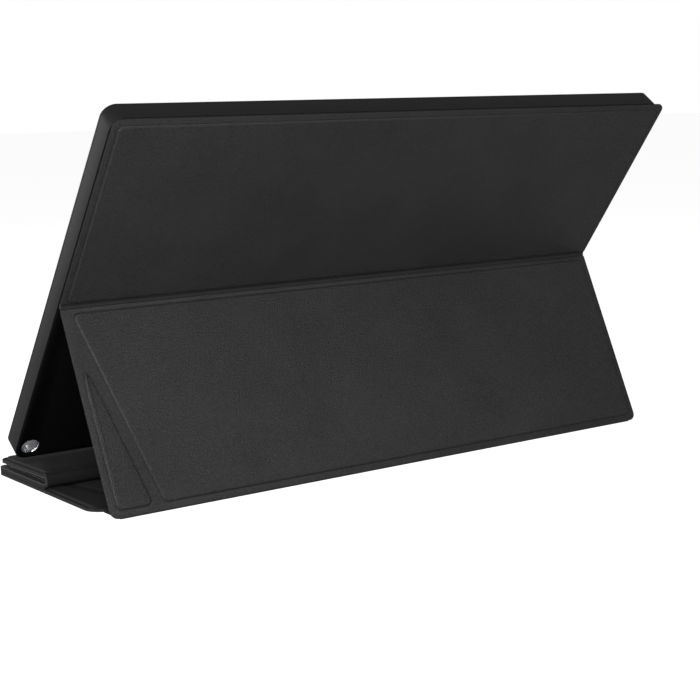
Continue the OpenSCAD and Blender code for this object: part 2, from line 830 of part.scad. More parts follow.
module lip_rim() { sheet(cover_x, 0, lip_d - crease_gap, panel_r, fold_r); }
module lip_skin() { on_lip() skin([lip_field], lip_board_t, lip_drop) lip_rim(); }
module lip_lining() { on_lip() lining([lip_field], lip_board_t, lip_drop) lip_rim(); }

// Magnets lie across the board where the monitor's lower edge stands
lip_magnet_y = (corner_y - lip_tip_y) / cos(lip_slope);

module lip_board() {
    board_colour() on_lip() difference() {
        board(lip_field, lip_board_t);
        magnet_places() translate([0, lip_magnet_y, 0])
            cube([magnet_l + 0.2, magnet_w + 0.2, lip_board_t + 1], center = true);
    }
}
module lip_magnets() {
    color([0.6, 0.6, 0.62]) on_lip() magnet_places() translate([0, lip_magnet_y, 0])
        cube([magnet_l, magnet_w, magnet_t], center = true);
}

rear_shell();
front_bezel();
lcd_cell();
prism_sheet();
diffuser_sheet();
light_guide();
reflector_sheet();
led_bar();
backlight_tray();
driver_board();
display_ribbon();
main_board();
board_shield();
board_screws();
usb_c_socket();
micro_hdmi_socket();
battery_pack();
key_board();
key_switches();
power_key();
menu_key();
select_key();
pen_sleeve();
case_magnets();
bond_pads();
upper_skin();
upper_board();
upper_lining();
back_fold();
leg_skin();
leg_board();
leg_corner_board();
leg_lining();
foot_fold();
base_skin();
base_board();
base_corner_board();
spine_board();
base_lining();
front_fold();
flap_skin();
flap_board();
flap_lining();
lip_fold();
lip_skin();
lip_board();
lip_lining();
lip_magnets();
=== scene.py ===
import json
import math
import bpy
from mathutils import Matrix, Vector

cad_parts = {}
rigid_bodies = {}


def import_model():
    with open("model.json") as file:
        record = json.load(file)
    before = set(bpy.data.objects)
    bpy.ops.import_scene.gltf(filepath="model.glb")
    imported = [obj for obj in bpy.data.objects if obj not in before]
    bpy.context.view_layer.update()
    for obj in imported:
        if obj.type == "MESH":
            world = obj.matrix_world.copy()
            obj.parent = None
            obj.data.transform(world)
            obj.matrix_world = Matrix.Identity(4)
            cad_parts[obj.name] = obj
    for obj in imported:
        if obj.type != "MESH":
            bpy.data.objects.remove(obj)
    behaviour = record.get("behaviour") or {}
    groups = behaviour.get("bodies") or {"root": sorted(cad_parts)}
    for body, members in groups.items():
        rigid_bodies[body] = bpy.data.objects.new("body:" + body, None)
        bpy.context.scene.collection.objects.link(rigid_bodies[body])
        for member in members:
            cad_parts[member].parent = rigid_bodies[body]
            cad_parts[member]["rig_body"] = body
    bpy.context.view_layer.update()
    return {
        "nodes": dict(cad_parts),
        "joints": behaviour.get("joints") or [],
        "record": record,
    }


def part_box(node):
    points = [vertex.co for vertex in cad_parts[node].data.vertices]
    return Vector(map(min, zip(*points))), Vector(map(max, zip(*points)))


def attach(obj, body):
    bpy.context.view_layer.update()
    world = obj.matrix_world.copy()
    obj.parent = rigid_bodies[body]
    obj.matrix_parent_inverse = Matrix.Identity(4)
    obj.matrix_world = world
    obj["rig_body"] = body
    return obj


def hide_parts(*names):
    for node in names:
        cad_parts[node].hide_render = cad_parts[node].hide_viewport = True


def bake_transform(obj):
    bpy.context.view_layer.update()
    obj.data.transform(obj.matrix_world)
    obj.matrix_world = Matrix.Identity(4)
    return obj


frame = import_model()
MM = 0.001

# The camera stands behind the stand, to the left of the photo's middle, a little above the table.
# It looks down on the folded cover with a longer lens.
camera_place = Vector((0.50855, 0.71554, 0.19337))
camera_heading = 144.315
camera_dip = 8.782
camera_roll = -1.514

bpy.ops.object.select_all(action="DESELECT")
bpy.ops.object.camera_add()
camera = bpy.context.object
camera.matrix_world = (
    Matrix.Translation(camera_place)
    @ Matrix.Rotation(math.radians(camera_heading), 4, "Z")
    @ Matrix.Rotation(math.radians(90 - camera_dip), 4, "X")
    @ Matrix.Rotation(math.radians(camera_roll), 4, "Z")
)
camera.data.sensor_fit = "HORIZONTAL"
camera.data.sensor_width = 36
camera.data.lens = 79.636
bpy.context.scene.camera = camera
bpy.context.scene.view_settings.view_transform = "Standard"

# The studio: a white table top that runs out of sight, a pale room, and soft lamps. The strongest
# lights stand on the photo's left, weaker ones behind the camera and in front of the screen.
floor_grey = 0.8
floor_glow = 0.9
room_strength = 0.08
room_shine = 0.1


def new_material(name):
    """An empty node material, its shader, and its node tree."""
    material = bpy.data.materials.new(name)
    material.use_nodes = True
    tree = material.node_tree
    return material, tree, tree.nodes["Principled BSDF"]


def studio_floor():
    """White for the camera, and otherwise a plain matt top that takes the object's shadow."""
    material, tree, shader = new_material("table_top")
    shader.inputs["Base Color"].default_value = (floor_grey, floor_grey, floor_grey, 1)
    shader.inputs["Roughness"].default_value = 0.9
    shader.inputs["Specular IOR Level"].default_value = 0.0
    seen = tree.nodes.new("ShaderNodeLightPath")
    glow = tree.nodes.new("ShaderNodeEmission")
    clear = tree.nodes.new("ShaderNodeMath")
    clear.operation = "MULTIPLY"
    clear.inputs[1].default_value = floor_glow
    tree.links.new(seen.outputs["Is Camera Ray"], clear.inputs[0])
    tree.links.new(clear.outputs[0], glow.inputs["Strength"])
    both = tree.nodes.new("ShaderNodeAddShader")
    tree.links.new(shader.outputs[0], both.inputs[0])
    tree.links.new(glow.outputs[0], both.inputs[1])
    tree.links.new(both.outputs[0], tree.nodes["Material Output"].inputs["Surface"])
    return material


bpy.ops.object.select_all(action="DESELECT")
bpy.ops.mesh.primitive_plane_add(size=40)
floor = bpy.context.object
floor.name = "table_top"
floor.data.materials.append(studio_floor())

world = bpy.data.worlds.new("pale_room")
bpy.context.scene.world = world
world.use_nodes = True
room = world.node_tree
backdrop = room.nodes["Background"]
backdrop.inputs["Color"].default_value = (1, 1, 1, 1)
seen = room.nodes.new("ShaderNodeLightPath")
strength = room.nodes.new("ShaderNodeMath")
strength.operation = "MULTIPLY_ADD"
strength.inputs[1].default_value = 1 - room_strength
strength.inputs[2].default_value = room_strength
room.links.new(seen.outputs["Is Camera Ray"], strength.inputs[0])
shine = room.nodes.new("ShaderNodeMath")
shine.operation = "MULTIPLY_ADD"
shine.inputs[1].default_value = room_shine
mirrored = room.nodes.new("ShaderNodeMath")
mirrored.operation = "MAXIMUM"
room.links.new(seen.outputs["Is Glossy Ray"], mirrored.inputs[0])
room.links.new(seen.outputs["Is Transmission Ray"], mirrored.inputs[1])
room.links.new(mirrored.outputs[0], shine.inputs[0])
room.links.new(strength.outputs[0], shine.inputs[2])
room.links.new(shine.outputs[0], backdrop.inputs["Strength"])


def soft_lamp(name, place, target, width, height, watts):
    """A rectangular soft lamp at this place, aimed at its target."""
    bpy.ops.object.light_add(type="AREA", location=place)
    lamp = bpy.context.object
    lamp.name = name
    lamp.rotation_euler = (Vector(target) - Vector(place)).to_track_quat("-Z", "Y").to_euler()
    lamp.data.shape = "RECTANGLE"
    lamp.data.size = width
    lamp.data.size_y = height
    lamp.data.energy = watts


soft_lamp("side_lamp", (1.7, 0.3, 0.25), (0, 0, 0.1), 0.9, 0.5, 12.5)
soft_lamp("main_lamp", (0.62, 0.68, 0.42), (0.15, 0.1, 0.03), 0.5, 0.4, 4.6)
soft_lamp("low_lamp", (-0.3, 1.9, 0.2), (0, 0, 0.1), 1.0, 0.4, 2)
soft_lamp("grain_lamp", (-0.45, 1.3, 0.75), (0.15, 0.1, 0.05), 0.5, 0.5, 5)
soft_lamp("screen_lamp", (1.0, -1.5, 0.4), (0, 0, 0.1), 1.2, 0.7, 4)

# The case is two mouldings of matt black plastic: a rear shell with 1.5 mm walls, and a thin front
# frame that snaps into it. Both have fine moulded texture and softened edges.
case_black = (0.0135, 0.0135, 0.014)
frame_black = (0.012, 0.012, 0.0125)


def softened_copy(node, width, angle=40):
    """A copy of a CAD node with merged faces and rounded edges, which stands for it."""
    source = frame["nodes"][node]
    piece = bpy.data.objects.new(node + "_shape", source.data.copy())
    bpy.context.collection.objects.link(piece)
    bpy.ops.object.select_all(action="DESELECT")
    piece.select_set(True)
    bpy.context.view_layer.objects.active = piece
    bpy.ops.object.mode_set(mode="EDIT")
    bpy.ops.mesh.select_all(action="SELECT")
    bpy.ops.mesh.remove_doubles(threshold=0.00001)
    bpy.ops.mesh.dissolve_limited(angle_limit=math.radians(1))
    bpy.ops.object.mode_set(mode="OBJECT")
    rounding = piece.modifiers.new("rounding", "BEVEL")
    rounding.width = width
    rounding.segments = 2
    rounding.limit_method = "ANGLE"
    rounding.angle_limit = math.radians(angle)
    rounding.use_clamp_overlap = True
    bpy.ops.object.modifier_apply(modifier="rounding")
    bpy.ops.object.shade_smooth_by_angle(angle=math.radians(30))
    piece.data.materials.clear()
    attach(piece, source["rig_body"])
    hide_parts(node)
    return piece


def object_texture(tree, kind, **values):
    """A texture laid on the object's own coordinates, with these inputs."""
    place = tree.nodes.new("ShaderNodeTexCoord")
    texture = tree.nodes.new(kind)
    for name, value in values.items():
        texture.inputs[name].default_value = value
    tree.links.new(place.outputs["Object"], texture.inputs["Vector"])
    return texture


def two_tone(tree, shader, factor, dark, light):
    """Base colour between two tones."""
    shade = tree.nodes.new("ShaderNodeMixRGB")
    shade.inputs["Color1"].default_value = (*dark, 1)
    shade.inputs["Color2"].default_value = (*light, 1)
    tree.links.new(factor, shade.inputs["Fac"])
    tree.links.new(shade.outputs["Color"], shader.inputs["Base Color"])


def rough_range(tree, shader, factor, low, high):
    """Roughness between two values."""
    gloss = tree.nodes.new("ShaderNodeMapRange")
    gloss.inputs["To Min"].default_value = low
    gloss.inputs["To Max"].default_value = high
    tree.links.new(factor, gloss.inputs["Value"])
    tree.links.new(gloss.outputs["Result"], shader.inputs["Roughness"])


def relief(tree, shader, height, strength, depth):
    """Fine relief of the surface."""
    bump = tree.nodes.new("ShaderNodeBump")
    bump.inputs["Strength"].default_value = strength
    bump.inputs["Distance"].default_value = depth
    tree.links.new(height, bump.inputs["Height"])
    tree.links.new(bump.outputs["Normal"], shader.inputs["Normal"])


def moulded_plastic(name, colour, rough, grain_size, depth, mottle=0.1, shine=0.25):
    """Plastic with the fine texture of its mould and a little mottling."""
    material, tree, shader = new_material(name)
    grain = object_texture(tree, "ShaderNodeTexNoise", Scale=1 / grain_size, Detail=4)
    cloud = object_texture(tree, "ShaderNodeTexNoise", Scale=40, Detail=3)
    dark = [c * (1 - mottle) for c in colour]
    light = [c * (1 + mottle) for c in colour]
    two_tone(tree, shader, cloud.outputs["Fac"], dark, light)
    rough_range(tree, shader, grain.outputs["Fac"], rough - 0.06, rough + 0.06)
    relief(tree, shader, grain.outputs["Fac"], 0.35, depth)
    shader.inputs["Specular IOR Level"].default_value = shine
    return material


case_plastic = moulded_plastic("case_plastic", case_black, 0.5, 0.35 * MM, 0.04 * MM)
rear_shell = softened_copy("rear_shell", 0.2 * MM)
rear_shell.data.materials.append(case_plastic)
# The rear shell's back face, under the cover, gets a near-black copy of the case plastic. This is
# painted shade for the dark inside of the folded cover.
rear_shell.data.materials.append(
    moulded_plastic("case_back_painted_shade", (0.003, 0.003, 0.0031), 0.75, 0.6 * MM, 0.05 * MM, 0.2, 0.06))
lean = 36.8
out_back = Vector((0, math.cos(math.radians(lean)), -math.sin(math.radians(lean))))
# Faces that look out of the back take the near-black painted shade; all others keep the case plastic.
for face in rear_shell.data.polygons:
    face.material_index = int(face.normal.dot(out_back) > 0.5)

front_plastic = moulded_plastic("front_frame_plastic", frame_black, 0.42, 0.3 * MM, 0.03 * MM)
front_frame = softened_copy("front_bezel", 0.2 * MM)
front_frame.data.materials.append(front_plastic)


# The backlight and the screen are a stack laid into the front of the case: a pressed steel tray, a
# white reflector, a clear light guide with a strip of lamps along one edge, and two films under the
# dark glass cell.
def finish(node, material):
    """Gives a CAD solid that is shown as it is its own finish."""
    solid = frame["nodes"][node]
    solid.data.materials.clear()
    solid.data.materials.append(material)


def rolled_metal(name, colour, rough, grain_length):
    """Sheet metal with the fine lines that rolling leaves along it."""
    material, tree, shader = new_material(name)
    shader.inputs["Metallic"].default_value = 1.0
    across = 60 / grain_length
    stretch = object_texture(
        tree, "ShaderNodeMapping", Scale=(1 / grain_length, across, across))
    lines = tree.nodes.new("ShaderNodeTexNoise")
    lines.inputs["Scale"].default_value = 1
    lines.inputs["Detail"].default_value = 4
    tree.links.new(stretch.outputs["Vector"], lines.inputs["Vector"])
    two_tone(tree, shader, lines.outputs["Fac"], [c * 0.8 for c in colour], colour)
    rough_range(tree, shader, lines.outputs["Fac"], rough * 0.7, rough * 1.3)
    return material


def dotted_acrylic(name):
    """Clear acrylic with the printed white dots that throw the light forward."""
    material, tree, shader = new_material(name)
    shader.inputs["Roughness"].default_value = 0.08
    shader.inputs["IOR"].default_value = 1.49
    dots = object_texture(tree, "ShaderNodeTexVoronoi", Scale=700, Randomness=0.3)
    print_edge = tree.nodes.new("ShaderNodeMapRange")
    print_edge.inputs["From Min"].default_value = 0.25
    print_edge.inputs["From Max"].default_value = 0.32
    tree.links.new(dots.outputs["Distance"], print_edge.inputs["Value"])
    tree.links.new(print_edge.outputs["Result"], shader.inputs["Transmission Weight"])
    two_tone(tree, shader, print_edge.outputs["Result"], (0.85, 0.86, 0.86), (0.97, 0.985, 0.98))
    return material


def lamp_strip(name):
    """White board with a yellow phosphor window over every lamp."""
    material, tree, shader = new_material(name)
    shader.inputs["Roughness"].default_value = 0.4
    windows = object_texture(tree, "ShaderNodeTexWave", Scale=34, Distortion=0)
    ramp = tree.nodes.new("ShaderNodeValToRGB")
    ramp.color_ramp.interpolation = "CONSTANT"
    ramp.color_ramp.elements[0].color = (0.75, 0.76, 0.74, 1)
    ramp.color_ramp.elements[1].position = 0.55
    ramp.color_ramp.elements[1].color = (0.85, 0.62, 0.08, 1)
    tree.links.new(windows.outputs["Fac"], ramp.inputs["Fac"])
    tree.links.new(ramp.outputs["Color"], shader.inputs["Base Color"])
    return material


tray_steel = rolled_metal("tray_steel", (0.62, 0.62, 0.6), 0.32, 20 * MM)
finish("backlight_tray", tray_steel)
finish("reflector_sheet", moulded_plastic(
    "reflector_white", (0.82, 0.82, 0.81), 0.5, 2 * MM, 0.01 * MM, 0.03, 0.5))
finish("light_guide", dotted_acrylic("light_guide_acrylic"))
finish("led_bar", lamp_strip("lamp_strip_board"))
finish("diffuser_sheet", moulded_plastic(
    "diffuser_film", (0.74, 0.75, 0.76), 0.35, 0.4 * MM, 0.01 * MM, 0.04, 0.5))
finish("prism_sheet", moulded_plastic(
    "prism_film", (0.6, 0.63, 0.66), 0.2, 0.3 * MM, 0.02 * MM, 0.08, 0.5))
cell_glass = moulded_plastic(
    "screen_glass", (0.006, 0.0065, 0.0075), 0.22, 0.25 * MM, 0.004 * MM, 0.15, 0.5)
finish("lcd_cell", cell_glass)


# The electronics are screwed to bosses of the rear shell: the main board under its tin shield, the
# long driver board of the screen with its film cable, the key board, and a flat foil battery.
def polished_metal(name, colour, rough):
    """Metal with the faint rings that turning and polishing leave."""
    material, tree, shader = new_material(name)
    shader.inputs["Metallic"].default_value = 1.0
    rings = object_texture(tree, "ShaderNodeTexNoise", Scale=900, Detail=5)
    two_tone(tree, shader, rings.outputs["Fac"], [c * 0.88 for c in colour], colour)
    rough_range(tree, shader, rings.outputs["Fac"], rough * 0.7, rough * 1.4)
    return material


def circuit_board(name, mask, track):
    """Fibreglass board: solder mask over copper tracks, with pads and vias."""
    material, tree, shader = new_material(name)
    tracks = object_texture(tree, "ShaderNodeTexVoronoi", Scale=220)
    tracks.distance = "MANHATTAN"
    tracks.feature = "F2"
    ramp = tree.nodes.new("ShaderNodeValToRGB")
    ramp.color_ramp.elements[0].position = 0.45
    ramp.color_ramp.elements[0].color = (*mask, 1)
    ramp.color_ramp.elements[1].position = 0.6
    ramp.color_ramp.elements[1].color = (*track, 1)
    tree.links.new(tracks.outputs["Distance"], ramp.inputs["Fac"])
    tree.links.new(ramp.outputs["Color"], shader.inputs["Base Color"])
    shader.inputs["Roughness"].default_value = 0.32
    relief(tree, shader, tracks.outputs["Distance"], 0.3, 0.03 * MM)
    return material


def film_cable(name):
    """Amber film with copper conductors running along it."""
    material, tree, shader = new_material(name)
    shader.inputs["Roughness"].default_value = 0.28
    wires = object_texture(tree, "ShaderNodeTexWave", Scale=260, Distortion=0)
    two_tone(tree, shader, wires.outputs["Fac"], (0.42, 0.14, 0.02), (0.62, 0.3, 0.1))
    return material


board_green = circuit_board("board_green", (0.008, 0.09, 0.035), (0.02, 0.17, 0.07))
for node in ("main_board", "driver_board", "key_board"):
    finish(node, board_green)
finish("board_shield", rolled_metal("shield_tin", (0.7, 0.69, 0.66), 0.38, 12 * MM))
finish("board_screws", polished_metal("screw_steel", (0.56, 0.56, 0.57), 0.3))
finish("display_ribbon", film_cable("display_cable"))
socket_steel = polished_metal("socket_steel", (0.66, 0.66, 0.67), 0.24)
finish("usb_c_socket", socket_steel)
finish("micro_hdmi_socket", socket_steel)
battery_foil = rolled_metal("battery_foil", (0.6, 0.61, 0.63), 0.45, 6 * MM)
finish("battery_pack", battery_foil)
finish("key_switches", moulded_plastic(
    "switch_plastic", (0.03, 0.03, 0.03), 0.5, 0.3 * MM, 0.02 * MM))

# Three small keys of matt plastic slide in windows of the rear shell's side, each held by a flange
# behind the wall. All three are the same moulding.
key_plastic = moulded_plastic("key_plastic", (0.022, 0.022, 0.023), 0.42, 0.3 * MM, 0.02 * MM)
for node in ("power_key", "menu_key", "select_key"):
    key = softened_copy(node, 0.15 * MM)
    key.data.materials.append(key_plastic)

# Nickel plated bar magnets lie in pockets of the case and in the lip, and hold the cover shut.
magnet_nickel = polished_metal("magnet_nickel", (0.6, 0.58, 0.54), 0.26)
finish("case_magnets", magnet_nickel)
finish("lip_magnets", magnet_nickel)

# The pen hole is lined with a polished metal sleeve with rolled lips, pressed through the case's
# lower corner, so that a pen pushed through it can prop the screen up.
def turned_ring(name, profile, place, segments=72):
    """A ring turned from a closed profile of radii and heights, in metres."""
    bpy.ops.object.select_all(action="DESELECT")
    radius, height = profile[0]
    bpy.ops.mesh.primitive_circle_add(
        vertices=segments, radius=radius / MM, location=(0, 0, height / MM), fill_type="NOTHING")
    ring = bpy.context.object
    bpy.ops.object.transform_apply(location=True)
    bpy.ops.object.mode_set(mode="EDIT")
    for next_radius, next_height in profile[1:] + profile[:1]:
        rise = (next_height - height) / MM
        swell = next_radius / radius
        bpy.ops.mesh.extrude_edges_move(TRANSFORM_OT_translate={"value": (0, 0, rise)})
        bpy.ops.transform.resize(
            value=(swell, swell, 1), center_override=(0, 0, next_height / MM))
        radius, height = next_radius, next_height
    bpy.ops.mesh.select_all(action="SELECT")
    bpy.ops.mesh.remove_doubles(threshold=0.01)
    bpy.ops.mesh.normals_make_consistent(inside=False)
    bpy.ops.object.mode_set(mode="OBJECT")
    ring.data.transform(place @ Matrix.Scale(MM, 4))
    bpy.ops.object.shade_smooth_by_angle(angle=math.radians(40))
    ring.name = name
    return ring


pen_hole = next(m for m in frame["record"]["mounts"] if m["name"] == "pen_hole")
pen_r = pen_hole["dims"]["r_mm"] * MM
pen_half = pen_hole["dims"]["length_mm"] * MM / 2
pen_wall = 0.8 * MM
pen_place = (
    Matrix.Translation(pen_hole["pos_m"])
    @ Vector(pen_hole["axis"]).to_track_quat("Z", "Y").to_matrix().to_4x4()
)
pen_lip = [
    (pen_r, pen_half - 1.2 * MM), (pen_r + 0.08 * MM, pen_half - 0.6 * MM),
    (pen_r + 0.28 * MM, pen_half - 0.2 * MM), (pen_r + 0.5 * MM, pen_half),
    (pen_r + 0.68 * MM, pen_half - 0.06 * MM), (pen_r + pen_wall, pen_half - 0.25 * MM),
]
pen_profile = pen_lip + [(radius, -height) for radius, height in reversed(pen_lip)]
pen_sleeve = turned_ring("pen_hole_sleeve", pen_profile, pen_place)
pen_sleeve.data.materials.append(polished_metal("sleeve_chrome", (0.82, 0.83, 0.85), 0.1))
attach(pen_sleeve, "monitor")
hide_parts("pen_sleeve")

# The cover is two layers of imitation leather, welded round stiff boards. A panel's outer skin and
# its lining are each one sheet, pressed into a raised field over every board.
pivots = {j["name"]: Vector(j["pos_m"]) for j in frame["joints"] if "pos_m" in j}
foot = pivots["foot_hinge"]
back = pivots["back_hinge"]
front = pivots["front_hinge"]
loop = pivots["lip_hinge"]
cover_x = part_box("leg_skin")[1].x
board_t = 1.6 * MM
skin_t = 0.5 * MM
rim_t = 1.2 * MM
rim_w = 3.4 * MM
bevel = 1.6 * MM
field_r = 3.4 * MM
crease = 1.6 * MM
cut_h = 0.35 * MM
# Each ring of a field's shoulder: how far in and how far up, as shares of its width and height.
crown_rings = [
    (0.08, -0.3), (0.08, -0.06), (0.1, 0.3), (0.12, 0.42), (0.14, 0.32), (0.16, 0.18), (0.16, 0.1),
    (0.16, 0.04),
]


def flat_face(corners, radii, steps=6):
    """A face with these corners, anticlockwise, each rounded by its own radius, in millimetres."""
    bpy.ops.object.select_all(action="DESELECT")
    bpy.ops.mesh.primitive_circle_add(vertices=len(corners), radius=1, fill_type="NGON")
    face = bpy.context.object
    places = [Vector(corner) / MM for corner in corners]
    for vertex, place in zip(face.data.vertices, places):
        vertex.co = (*place, 0)
    for i, (place, radius) in enumerate(zip(places, radii)):
        before = (places[i - 1] - place).normalized()
        after = (places[(i + 1) % len(places)] - place).normalized()
        reach = radius / MM / math.tan(before.angle(after) / 2)
        bpy.ops.object.mode_set(mode="EDIT")
        bpy.ops.mesh.select_all(action="DESELECT")
        bpy.ops.object.mode_set(mode="OBJECT")
        for vertex in face.data.vertices:
            vertex.select = (vertex.co.xy - place).length < 0.001
        bpy.ops.object.mode_set(mode="EDIT")
        bpy.ops.mesh.select_mode(type="VERT")
        bpy.ops.mesh.bevel(offset=reach, segments=steps, affect="VERTICES")
        bpy.ops.object.mode_set(mode="OBJECT")
    return face


def pressed_field(corners, radius, base, top):
    """The raised field over one board, with a soft shoulder all round."""
    field = flat_face(corners, [radius] * len(corners))
    bpy.ops.object.mode_set(mode="EDIT")
    bpy.ops.mesh.select_mode(type="FACE")
    bpy.ops.mesh.select_all(action="SELECT")
    bpy.ops.transform.translate(value=(0, 0, base / MM))
    for share, rise in crown_rings:
        bpy.ops.mesh.inset(thickness=share * bevel / MM, depth=rise * (top - base) / MM)
    bpy.ops.object.mode_set(mode="OBJECT")
    return field


def cover_half(name, corners, radii, fields, rim_top, top, place, body, node, turned=0):
    """One sheet of a cover panel: its flat rim, the fields pressed up out of it, and the edge that
    is turned down round the side by so much."""
    outline = flat_face(corners, radii, 8)
    bpy.ops.object.mode_set(mode="EDIT")
    bpy.ops.mesh.select_mode(type="FACE")
    bpy.ops.mesh.select_all(action="SELECT")
    bpy.ops.transform.translate(value=(0, 0, rim_top / MM - 0.25))
    bpy.ops.mesh.inset(thickness=0.08, depth=0.16)
    bpy.ops.mesh.inset(thickness=0.2, depth=0.09)
    parts = [outline]
    if fields:
        bpy.ops.mesh.delete(type="ONLY_FACE")
        bpy.ops.object.mode_set(mode="OBJECT")
        parts += [pressed_field(f, field_r, rim_top, top) for f in fields]
        bpy.ops.object.select_all(action="DESELECT")
        for part in parts:
            part.select_set(True)
        bpy.context.view_layer.objects.active = outline
        bpy.ops.object.join()
        bpy.ops.object.mode_set(mode="EDIT")
        bpy.ops.mesh.select_mode(type="EDGE")
        bpy.ops.mesh.select_non_manifold(extend=False, use_wire=True, use_boundary=True)
        bpy.ops.object.mode_set(mode="OBJECT")
        heights = [v.co.z * MM for v in outline.data.vertices]
        for edge in outline.data.edges:
            edge.select = edge.select and min(heights[v] for v in edge.vertices) > rim_top - 0.02 * MM
        bpy.ops.object.mode_set(mode="EDIT")
        bpy.ops.mesh.fill(use_beauty=False)
    bpy.ops.mesh.select_all(action="SELECT")
    bpy.ops.mesh.normals_make_consistent(inside=False)
    bpy.ops.object.mode_set(mode="OBJECT")
    if sum(face.normal.z * face.area for face in outline.data.polygons) < 0:
        bpy.ops.object.mode_set(mode="EDIT")
        bpy.ops.mesh.flip_normals()
        bpy.ops.object.mode_set(mode="OBJECT")
    if turned:
        bpy.ops.object.mode_set(mode="EDIT")
        bpy.ops.mesh.select_mode(type="EDGE")
        bpy.ops.mesh.select_all(action="DESELECT")
        bpy.ops.mesh.select_non_manifold(extend=False, use_boundary=True)
        bpy.ops.mesh.extrude_edges_move(
            TRANSFORM_OT_translate={"value": (0, 0, (cut_h - turned) / MM)})
        bpy.ops.mesh.extrude_edges_move(TRANSFORM_OT_translate={"value": (0, 0, -cut_h / MM)})
        bpy.ops.object.mode_set(mode="OBJECT")
    layer = outline.modifiers.new("layer", "SOLIDIFY")
    layer.thickness = skin_t / MM
    layer.offset = -1
    bpy.ops.object.modifier_apply(modifier="layer")
    if turned:
        lowest = min(v.co.z for v in outline.data.vertices)
        for face in outline.data.polygons:
            face.material_index = int(face.center.z < lowest + cut_h / MM * 0.9)
    outline.data.transform(place @ Matrix.Scale(MM, 4))
    bpy.ops.object.shade_smooth_by_angle(angle=math.radians(35))
    outline.name = name
    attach(outline, body)
    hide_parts(node)
    return outline


def in_panel(y, z, turn):
    """The place of a panel: Y along the sheet, Z on the lining's side."""
    return Matrix.Translation((0, y, z)) @ Matrix.Rotation(math.radians(turn), 4, "X")


def turned_over(outline):
    """An outline or field as it is seen from the skin's side."""
    return [(-x, y) for x, y in reversed(outline)]


over = Matrix.Rotation(math.pi, 4, "Y")


def box_outline(x0, y0, x1, y1):
    """A rectangle from its lower left corner to its upper right one."""
    return [(x0, y0), (x1, y0), (x1, y1), (x0, y1)]


def grained_leather(name, dark, light, grain_size, depth, rough, sheen):
    """Imitation leather: small pebbles with worn tops, pores between them, and slow mottling."""
    material, tree, shader = new_material(name)
    wander = object_texture(tree, "ShaderNodeTexNoise", Scale=0.4 / grain_size, Detail=2)
    place = tree.nodes.new("ShaderNodeTexCoord")
    shift = tree.nodes.new("ShaderNodeVectorMath")
    shift.operation = "MULTIPLY_ADD"
    shift.inputs[1].default_value = (grain_size, grain_size, grain_size)
    tree.links.new(wander.outputs["Color"], shift.inputs[0])
    tree.links.new(place.outputs["Object"], shift.inputs[2])
    pebble = tree.nodes.new("ShaderNodeTexVoronoi")
    pebble.feature = "SMOOTH_F1"
    pebble.inputs["Scale"].default_value = 1 / grain_size
    pebble.inputs["Smoothness"].default_value = 0.35
    tree.links.new(shift.outputs[0], pebble.inputs["Vector"])
    speck = object_texture(tree, "ShaderNodeTexNoise", Scale=1.4 / grain_size, Detail=3)
    cloud = object_texture(tree, "ShaderNodeTexNoise", Scale=30, Detail=4)
    blend = tree.nodes.new("ShaderNodeMath")
    blend.operation = "MULTIPLY_ADD"
    blend.inputs[1].default_value = 0.85
    tree.links.new(speck.outputs["Fac"], blend.inputs[0])
    slow = tree.nodes.new("ShaderNodeMath")
    slow.operation = "MULTIPLY_ADD"
    slow.inputs[1].default_value = 0.2
    slow.inputs[2].default_value = -0.025
    tree.links.new(cloud.outputs["Fac"], slow.inputs[0])
    tree.links.new(slow.outputs[0], blend.inputs[2])
    ramp = tree.nodes.new("ShaderNodeValToRGB")
    ramp.color_ramp.elements[0].position = 0.36
    ramp.color_ramp.elements[0].color = (*dark, 1)
    ramp.color_ramp.elements[1].position = 0.64
    ramp.color_ramp.elements[1].color = (*light, 1)
    tree.links.new(blend.outputs[0], ramp.inputs["Fac"])
    tree.links.new(ramp.outputs["Color"], shader.inputs["Base Color"])
    rough_range(tree, shader, pebble.outputs["Distance"], rough + 0.1, rough - 0.08)
    bump = tree.nodes.new("ShaderNodeBump")
    bump.invert = True
    bump.inputs["Strength"].default_value = 0.6
    bump.inputs["Distance"].default_value = depth
    tree.links.new(pebble.outputs["Distance"], bump.inputs["Height"])
    fine = tree.nodes.new("ShaderNodeBump")
    fine.inputs["Strength"].default_value = 0.45
    fine.inputs["Distance"].default_value = depth
    tree.links.new(speck.outputs["Fac"], fine.inputs["Height"])
    tree.links.new(bump.outputs["Normal"], fine.inputs["Normal"])
    tree.links.new(fine.outputs["Normal"], shader.inputs["Normal"])
    shader.inputs["Specular IOR Level"].default_value = 0.25
    shader.inputs["Sheen Weight"].default_value = sheen
    shader.inputs["Sheen Roughness"].default_value = 0.5
    return material


skin_leather = grained_leather(
    "cover_leather", (0.0135, 0.0135, 0.014), (0.034, 0.034, 0.035), 0.8 * MM, 0.35 * MM, 0.44, 0.02)
lining_leather = grained_leather(
    "cover_lining", (0.009, 0.009, 0.0095), (0.015, 0.015, 0.0155), 0.5 * MM, 0.05 * MM, 0.62, 0.02)


cut_edge = moulded_plastic("cut_edge", (0.085, 0.085, 0.087), 0.7, 0.5 * MM, 0.05 * MM, 0.25)


def dress(piece, material):
    """Gives a sheet its leather, and its turned edge the paler cut edge at the very end."""
    piece.data.materials.append(material)
    piece.data.materials.append(cut_edge)


def pressed_board(name):
    """Grey board pressed from waste paper, with its fibres and flecks."""
    material, tree, shader = new_material(name)
    shader.inputs["Roughness"].default_value = 0.85
    fibres = object_texture(
        tree, "ShaderNodeTexNoise", Scale=900, Detail=6, Distortion=1.5)
    two_tone(tree, shader, fibres.outputs["Fac"], (0.2, 0.185, 0.16), (0.34, 0.32, 0.28))
    relief(tree, shader, fibres.outputs["Fac"], 1, 0.05 * MM)
    return material


